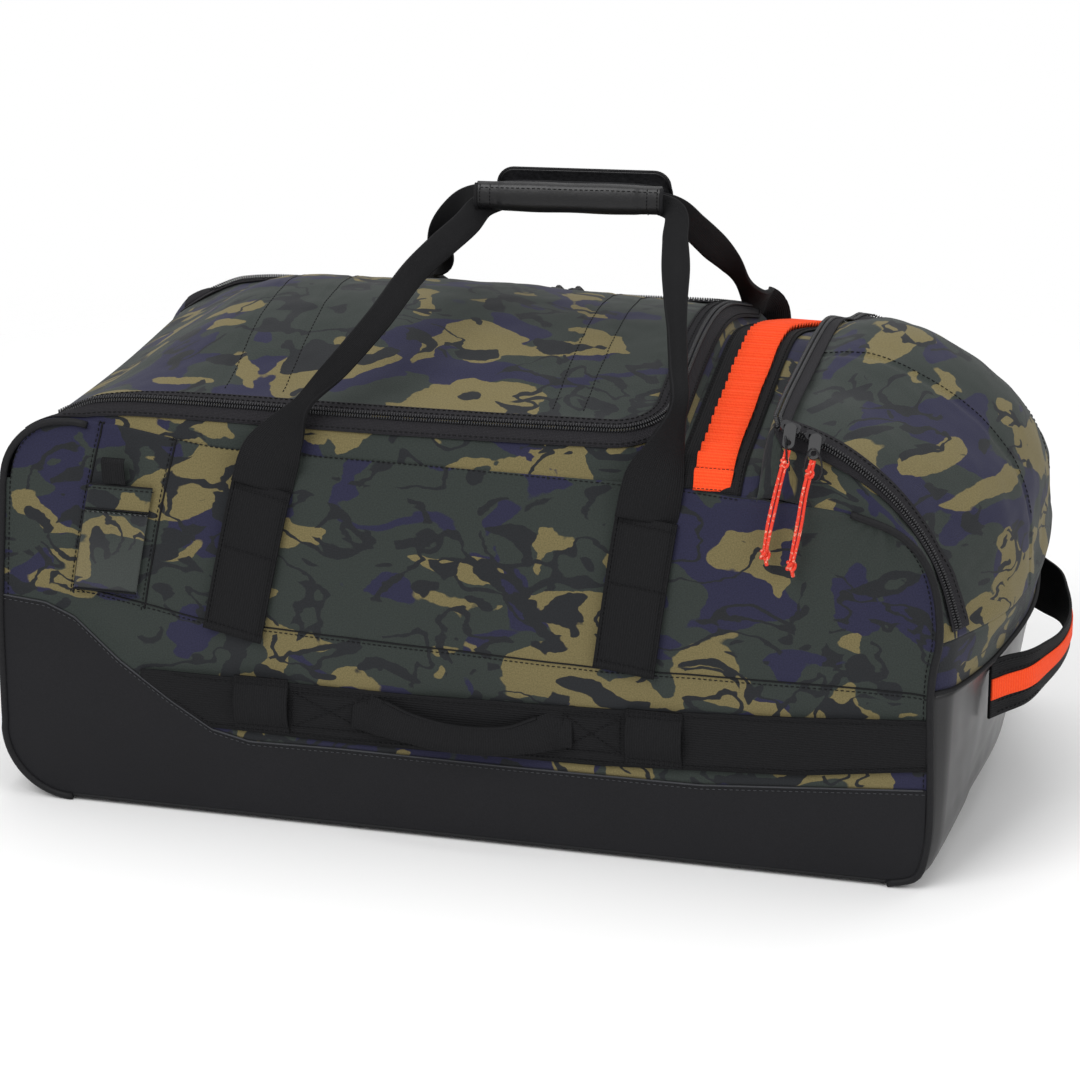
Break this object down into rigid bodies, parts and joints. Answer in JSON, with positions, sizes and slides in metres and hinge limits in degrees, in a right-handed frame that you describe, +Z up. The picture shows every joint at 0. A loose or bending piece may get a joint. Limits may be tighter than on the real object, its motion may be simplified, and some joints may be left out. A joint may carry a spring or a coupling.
{
  "type": "rolling duffel bag",
  "caption": "Large two-compartment rolling duffel bag with a zipped lid and end flap, haul straps, a telescoping pull handle and recessed wheels.",
  "frame": {"origin": "on the floor, in the middle of the centre runner's underside", "axes": "+Z up, +X towards the pull handle end, -Y the front face"},
  "size_m": [0.8271, 0.436, 0.487],
  "materials": {
    "camo_fabric": null,
    "tarpaulin": "coated tarpaulin",
    "black_webbing": "ribbed webbing",
    "orange_webbing": "ribbed webbing",
    "leatherette": "smooth coated",
    "zipper_tape": "woven tape with a coil chain",
    "piping": "rolled",
    "liner_fabric": "plain woven",
    "base_plastic": "moulded",
    "aluminium_tube": "anodised",
    "steel": "plain",
    "grip_plastic": "fine texture",
    "button_plastic": "satin",
    "tyre_rubber": "matte",
    "hub_plastic": "satin",
    "slider_metal": "black",
    "pull_plastic": "satin",
    "pull_cord": "woven round cord with pale flecks",
    "card": "satin"
  },
  "bodies": {
    "bag": {"axles": "steel", "back_panel": "camo_fabric", "base_board": "base_plastic", "base_fasteners": "steel", "black_band": "black_webbing", "bottom_panel": "tarpaulin", "centre_yoke": "camo_fabric", "divider_panel": "liner_fabric", "end_grab_handle": "black_webbing", "end_gussets": "camo_fabric", "floor_liner": "liner_fabric", "front_panel": "camo_fabric", "handle_cup": "base_plastic", "handle_end_panel": "tarpaulin", "haul_anchors": "black_webbing", "id_pocket": "camo_fabric", "lash_bands": "black_webbing", "orange_webbing": "orange_webbing", "outer_tubes": "aluminium_tube", "piping": "piping", "rim_tapes": "zipper_tape", "runners": "base_plastic", "shoulders": "camo_fabric", "splash_guards": "tarpaulin", "tube_clamps": "base_plastic", "wheel_end_panel": "camo_fabric", "wheel_end_yoke": "camo_fabric", "wheel_housings": "base_plastic"},
    "main_lid": {"main_lid": "camo_fabric", "lid_zip_tape": "zipper_tape"},
    "lid_slider_left": {"lid_slider_left": "slider_metal"},
    "lid_slider_right": {"lid_slider_right": "slider_metal"},
    "end_flap": {"end_flap": "camo_fabric", "flap_zip_tape": "zipper_tape", "upper_slider": "slider_metal"},
    "upper_pull": {"upper_pull": "pull_plastic", "upper_cord": "pull_cord"},
    "lower_slider": {"lower_slider": "slider_metal"},
    "lower_pull": {"lower_pull": "pull_plastic", "lower_cord": "pull_cord"},
    "middle_stage": {"middle_tubes": "aluminium_tube", "stage_collars": "base_plastic"},
    "top_stage": {"inner_tubes": "aluminium_tube", "pull_grip": "grip_plastic"},
    "release": {"release_button": "button_plastic", "release_rods": "steel"},
    "lock_pins": {"lock_pins": "steel"},
    "front_wheel": {"front_tyre": "tyre_rubber", "front_hub": "hub_plastic", "front_bearings": "steel"},
    "back_wheel": {"back_tyre": "tyre_rubber", "back_hub": "hub_plastic", "back_bearings": "steel"},
    "front_haul": {"front_haul_strap": "black_webbing", "carry_wrap": "leatherette"},
    "wrap_flap": {"wrap_flap": "leatherette"},
    "back_haul": {"back_haul_strap": "black_webbing"},
    "front_side_handle": {"front_side_handle": "black_webbing"},
    "back_side_handle": {"back_side_handle": "black_webbing"},
    "id_card": {"id_card": "card"}
  },
  "joints": [
    {"name": "main_lid_hinge", "type": "hinge", "parent": "bag", "child": "main_lid", "pos_m": [-0.352, 0, 0.3572], "axis": [0, -1, 0], "range_deg": [0, 110]},
    {"name": "lid_slider_left_travel", "type": "slide", "parent": "main_lid", "child": "lid_slider_left", "axis": [-1, 0, 0], "range_m": [0, 0.085]},
    {"name": "lid_slider_right_travel", "type": "slide", "parent": "main_lid", "child": "lid_slider_right", "axis": [1, 0, 0], "range_m": [0, 0.085]},
    {"name": "end_flap_hinge", "type": "hinge", "parent": "bag", "child": "end_flap", "pos_m": [0.4218, 0, 0.196], "axis": [0, 1, 0], "range_deg": [0, 105]},
    {"name": "upper_pull_swing", "type": "hinge", "parent": "end_flap", "child": "upper_pull", "pos_m": [0.2548, -0.1986, 0.36], "axis": [-1, 0, 0], "range_deg": [0, 80]},
    {"name": "lower_slider_travel", "type": "hinge", "parent": "end_flap", "child": "lower_slider", "pos_m": [0.202, -0.192, 0.176], "axis": [0, 1, 0], "range_deg": [0, 38]},
    {"name": "lower_pull_swing", "type": "hinge", "parent": "lower_slider", "child": "lower_pull", "pos_m": [0.2737, -0.1986, 0.3535], "axis": [-1, 0, 0], "range_deg": [0, 80]},
    {"name": "pull_handle_lower", "type": "slide", "parent": "bag", "child": "middle_stage", "axis": [1, 0, 0], "range_m": [0, 0.25]},
    {"name": "pull_handle_upper", "type": "slide", "parent": "middle_stage", "child": "top_stage", "axis": [1, 0, 0], "range_m": [0, 0.25]},
    {"name": "release_press", "type": "slide", "parent": "top_stage", "child": "release", "axis": [-1, 0, 0], "range_m": [0, 0.004], "stiffness_N_per_m": 600, "springref_m": -0.002},
    {"name": "lock_pin_lift", "type": "slide", "parent": "top_stage", "child": "lock_pins", "axis": [0, 0, 1], "range_m": [0, 0.002]},
    {"name": "front_wheel_spin", "type": "hinge", "parent": "bag", "child": "front_wheel", "pos_m": [-0.343, -0.172, 0.04], "axis": [0, 1, 0], "continuous": true},
    {"name": "back_wheel_spin", "type": "hinge", "parent": "bag", "child": "back_wheel", "pos_m": [-0.343, 0.172, 0.04], "axis": [0, 1, 0], "continuous": true},
    {"name": "front_haul_fold", "type": "hinge", "parent": "bag", "child": "front_haul", "pos_m": [0, -0.2085, 0.3], "axis": [1, 0, 0], "range_deg": [0, 226], "deforming": ["front_haul_strap"]},
    {"name": "wrap_flap_swing", "type": "hinge", "parent": "front_haul", "child": "wrap_flap", "pos_m": [0.04, 0.0223, 0.455], "axis": [-1, 0, 0], "range_deg": [0, 110]},
    {"name": "back_haul_fold", "type": "hinge", "parent": "bag", "child": "back_haul", "pos_m": [0, 0.2085, 0.3], "axis": [-1, 0, 0], "range_deg": [0, 226], "deforming": ["back_haul_strap"]},
    {"name": "front_side_handle_swing", "type": "hinge", "parent": "bag", "child": "front_side_handle", "pos_m": [0.006, -0.2083, 0.1235], "axis": [-1, 0, 0], "range_deg": [0, 90]},
    {"name": "back_side_handle_swing", "type": "hinge", "parent": "bag", "child": "back_side_handle", "pos_m": [0.006, 0.2083, 0.1235], "axis": [1, 0, 0], "range_deg": [0, 90]},
    {"name": "id_card_slide", "type": "slide", "parent": "bag", "child": "id_card", "axis": [0.1445, 0, 0.9895], "range_m": [0, 0.06]}
  ],
  "couplings": [
    {"joint": "front_haul_fold", "follows": "main_lid_hinge", "ratio": 2.05},
    {"joint": "back_haul_fold", "follows": "main_lid_hinge", "ratio": 2.05},
    {"joint": "lock_pin_lift", "follows": "release_press", "ratio": 0.5}
  ]
}
